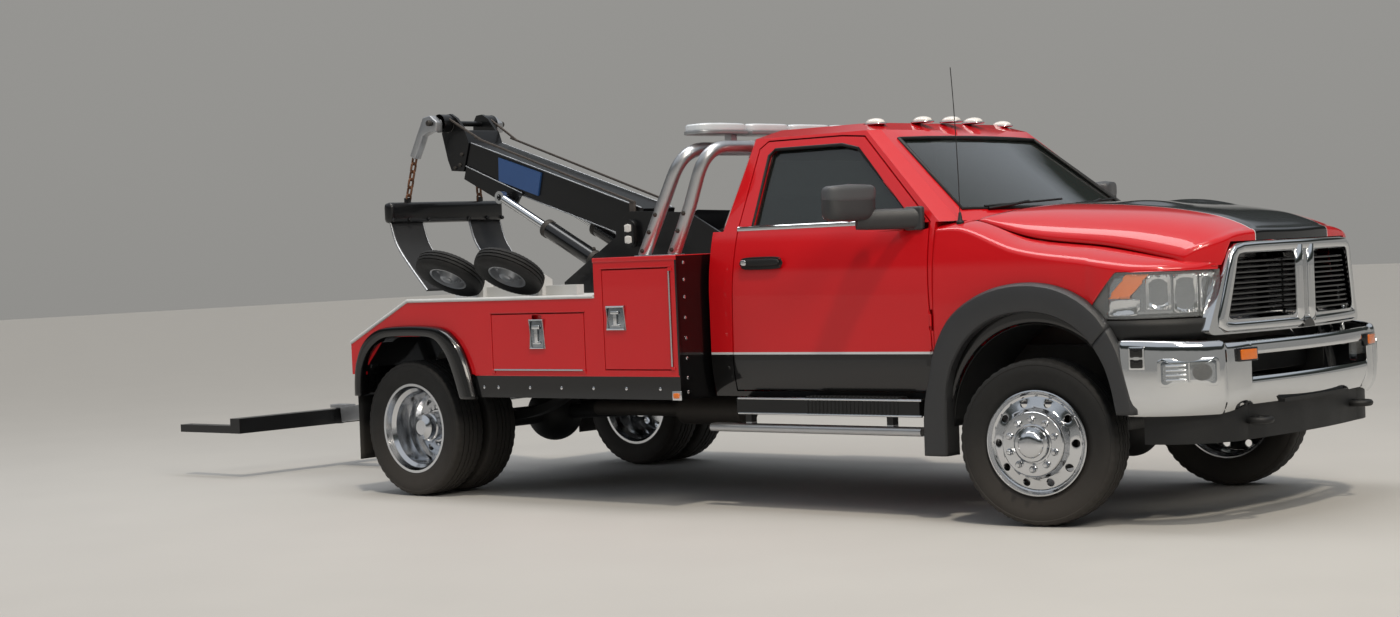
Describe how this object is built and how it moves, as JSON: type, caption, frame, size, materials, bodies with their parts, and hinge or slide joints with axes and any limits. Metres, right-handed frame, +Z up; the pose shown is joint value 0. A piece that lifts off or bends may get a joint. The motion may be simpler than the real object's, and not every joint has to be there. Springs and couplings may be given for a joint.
{
  "type": "tow truck",
  "caption": "Tow truck: regular cab, twin rear wheels, side tool boxes, extending boom with sling, and a wheel lift with forks.",
  "frame": {"origin": "on the road below the middle of the overall length and width", "axes": "+X forward, +Y to the left, +Z up"},
  "size_m": [8.015, 2.6886, 2.345],
  "materials": {
    "red_paint": "gloss clear-coated red",
    "chassis_black": "satin black chassis paint",
    "boom_black": "semi-gloss black paint, worn at edges",
    "cast_metal": "bare cast and coated steel, dusty",
    "glass": "tinted safety glass",
    "cabin_plastic": "grained moulded plastic",
    "seat_fabric": "woven seat cloth",
    "black_plastic": "grained black plastic",
    "lamp_plastic": "clear lens",
    "chrome": "bright plated",
    "step_aluminium": "satin tube",
    "deck_aluminium": "weathered tread plate",
    "pylon_aluminium": "brushed tube",
    "wire_rope": "wire rope with surface rust",
    "tyre": "black rubber"
  },
  "bodies": {
    "truck": {"frame_rails": "chassis_black", "crossmembers": "chassis_black", "front_axle": "chassis_black", "rear_axle": "chassis_black", "engine": "cast_metal", "cab_shell": "red_paint", "cab_glass": "glass", "dashboard": "cabin_plastic", "bench_seat": "seat_fabric", "fenders": "red_paint", "wheel_flares": "black_plastic", "cowl": "black_plastic", "lamps": "lamp_plastic", "bumper": "chrome", "valance": "black_plastic", "side_steps": "step_aluminium", "side_body_left": "red_paint", "side_body_right": "red_paint", "deck": "deck_aluminium", "light_pylon": "pylon_aluminium", "light_bar": "lamp_plastic", "boom_base": "boom_black", "winches": "boom_black", "lift_hanger": "boom_black", "dolly_frames": "deck_aluminium"},
    "hood_assembly": {"hood": "red_paint", "grille_surround": "chrome", "grille_louvres": "black_plastic"},
    "cab_door_left": {"door_left": "red_paint", "door_glass_left": "glass"},
    "cab_door_right": {"door_right": "red_paint", "door_glass_right": "glass"},
    "box_low_left": {"low_door_left": "red_paint"},
    "box_low_right": {"low_door_right": "red_paint"},
    "box_tall_left": {"tall_door_left": "red_paint"},
    "box_tall_right": {"tall_door_right": "red_paint"},
    "boom": {"boom_outer": "boom_black", "boom_cables": "wire_rope"},
    "boom_extension": {"boom_inner": "boom_black"},
    "cylinder_barrels": {"lift_barrels": "boom_black"},
    "cylinder_rods": {"lift_rods": "chrome"},
    "sling": {"tow_sling": "boom_black"},
    "wheel_lift": {"lift_arm": "boom_black"},
    "stinger_slide": {"stinger": "boom_black"},
    "forks": {"fork_bar": "boom_black"},
    "steering_left": {"knuckle_left": "chassis_black"},
    "steering_right": {"knuckle_right": "chassis_black"},
    "wheel_front_left": {"tyre_front_left": "tyre", "rim_front_left": "chrome"},
    "wheel_front_right": {"tyre_front_right": "tyre", "rim_front_right": "chrome"},
    "wheels_rear_left": {"tyres_rear_left": "tyre", "rims_rear_left": "chrome"},
    "wheels_rear_right": {"tyres_rear_right": "tyre", "rims_rear_right": "chrome"},
    "dolly_a_left": {"dolly_wheel_a_left": "tyre"},
    "dolly_a_right": {"dolly_wheel_a_right": "tyre"},
    "dolly_b_left": {"dolly_wheel_b_left": "tyre"},
    "dolly_b_right": {"dolly_wheel_b_right": "tyre"}
  },
  "joints": [
    {"name": "steer_right", "type": "hinge", "parent": "truck", "child": "steering_right", "pos_m": [3.0025, -0.86, 0.405], "axis": [0, 0, 1], "range_deg": [-43, 21]},
    {"name": "steer_left", "type": "hinge", "parent": "truck", "child": "steering_left", "pos_m": [3.0025, 0.86, 0.405], "axis": [0, 0, 1], "range_deg": [-43, 21]},
    {"name": "roll_front_right", "type": "hinge", "parent": "steering_right", "child": "wheel_front_right", "pos_m": [3.0025, -0.86, 0.405], "axis": [-0.1908, 0.9816, 0], "continuous": true},
    {"name": "roll_front_left", "type": "hinge", "parent": "steering_left", "child": "wheel_front_left", "pos_m": [3.0025, 0.86, 0.405], "axis": [-0.1908, 0.9816, 0], "continuous": true},
    {"name": "roll_rear_right", "type": "hinge", "parent": "truck", "child": "wheels_rear_right", "pos_m": [-1.2775, 0, 0.405], "axis": [0, 1, 0], "continuous": true},
    {"name": "roll_rear_left", "type": "hinge", "parent": "truck", "child": "wheels_rear_left", "pos_m": [-1.2775, 0, 0.405], "axis": [0, 1, 0], "continuous": true},
    {"name": "door_right_swing", "type": "hinge", "parent": "truck", "child": "cab_door_right", "pos_m": [2.3965, -0.985, 1], "axis": [0, 0, 1], "range_deg": [0, 65]},
    {"name": "door_left_swing", "type": "hinge", "parent": "truck", "child": "cab_door_left", "pos_m": [2.3965, 0.985, 1], "axis": [0, 0, -1], "range_deg": [0, 65]},
    {"name": "hood_lift", "type": "hinge", "parent": "truck", "child": "hood_assembly", "pos_m": [2.5785, 0, 1.455], "axis": [0, -1, 0], "range_deg": [0, 50]},
    {"name": "low_door_right_drop", "type": "hinge", "parent": "truck", "child": "box_low_right", "pos_m": [-0.5475, -1.2145, 0.759], "axis": [1, 0, 0], "range_deg": [0, 100]},
    {"name": "low_door_left_drop", "type": "hinge", "parent": "truck", "child": "box_low_left", "pos_m": [-0.5475, 1.2145, 0.759], "axis": [-1, 0, 0], "range_deg": [0, 100]},
    {"name": "tall_door_right_swing", "type": "hinge", "parent": "truck", "child": "box_tall_right", "pos_m": [0.8515, -1.2145, 1], "axis": [0, 0, 1], "range_deg": [0, 110]},
    {"name": "tall_door_left_swing", "type": "hinge", "parent": "truck", "child": "box_tall_left", "pos_m": [0.8515, 1.2145, 1], "axis": [0, 0, -1], "range_deg": [0, 110]},
    {"name": "boom_lift", "type": "hinge", "parent": "truck", "child": "boom", "pos_m": [-0.2975, 0, 1.551], "axis": [0, 1, 0], "range_deg": [-8, 14]},
    {"name": "boom_extend", "type": "slide", "parent": "boom", "child": "boom_extension", "axis": [-0.9505, 0, 0.3107], "range_m": [0, 1]},
    {"name": "sling_swing", "type": "hinge", "parent": "boom_extension", "child": "sling", "pos_m": [-1.98762, 0, 2.28332], "axis": [0, 1, 0], "range_deg": [-14, 8]},
    {"name": "cylinder_swing", "type": "hinge", "parent": "truck", "child": "cylinder_barrels", "pos_m": [-0.5875, 0, 1.33], "axis": [0, 1, 0], "range_deg": [-9.5, 16.5]},
    {"name": "cylinder_stroke", "type": "slide", "parent": "cylinder_barrels", "child": "cylinder_rods", "axis": [-0.8867, 0, 0.4623], "range_m": [-0.05, 0.085]},
    {"name": "wheel_lift_tilt", "type": "hinge", "parent": "truck", "child": "wheel_lift", "pos_m": [-1.5575, 0, 0.56], "axis": [0, 1, 0], "range_deg": [-4, 12]},
    {"name": "stinger_extend", "type": "slide", "parent": "wheel_lift", "child": "stinger_slide", "axis": [-0.9937, 0, -0.1118], "range_m": [-0.4, 0.1]},
    {"name": "fork_swivel", "type": "hinge", "parent": "stinger_slide", "child": "forks", "pos_m": [-3.3975, 0, 0.353], "axis": [0, 0, 1], "range_deg": [-15, 15]},
    {"name": "dolly_a_right_roll", "type": "hinge", "parent": "truck", "child": "dolly_a_right", "pos_m": [-1.1475, -0.96, 1.319], "axis": [0, -0.5446, -0.8387], "continuous": true},
    {"name": "dolly_a_left_roll", "type": "hinge", "parent": "truck", "child": "dolly_a_left", "pos_m": [-1.1475, 0.96, 1.319], "axis": [0, 0.5446, -0.8387], "continuous": true},
    {"name": "dolly_b_right_roll", "type": "hinge", "parent": "truck", "child": "dolly_b_right", "pos_m": [-0.6375, -0.96, 1.319], "axis": [0, -0.5446, -0.8387], "continuous": true},
    {"name": "dolly_b_left_roll", "type": "hinge", "parent": "truck", "child": "dolly_b_left", "pos_m": [-0.6375, 0.96, 1.319], "axis": [0, 0.5446, -0.8387], "continuous": true}
  ],
  "couplings": [
    {"joint": "steer_left", "follows": "steer_right", "ratio": 1},
    {"joint": "sling_swing", "follows": "boom_lift", "ratio": -1},
    {"joint": "cylinder_swing", "follows": "boom_lift", "ratio": 1.13},
    {"joint": "cylinder_stroke", "follows": "boom_lift", "m_per_rad": 0.326}
  ]
}
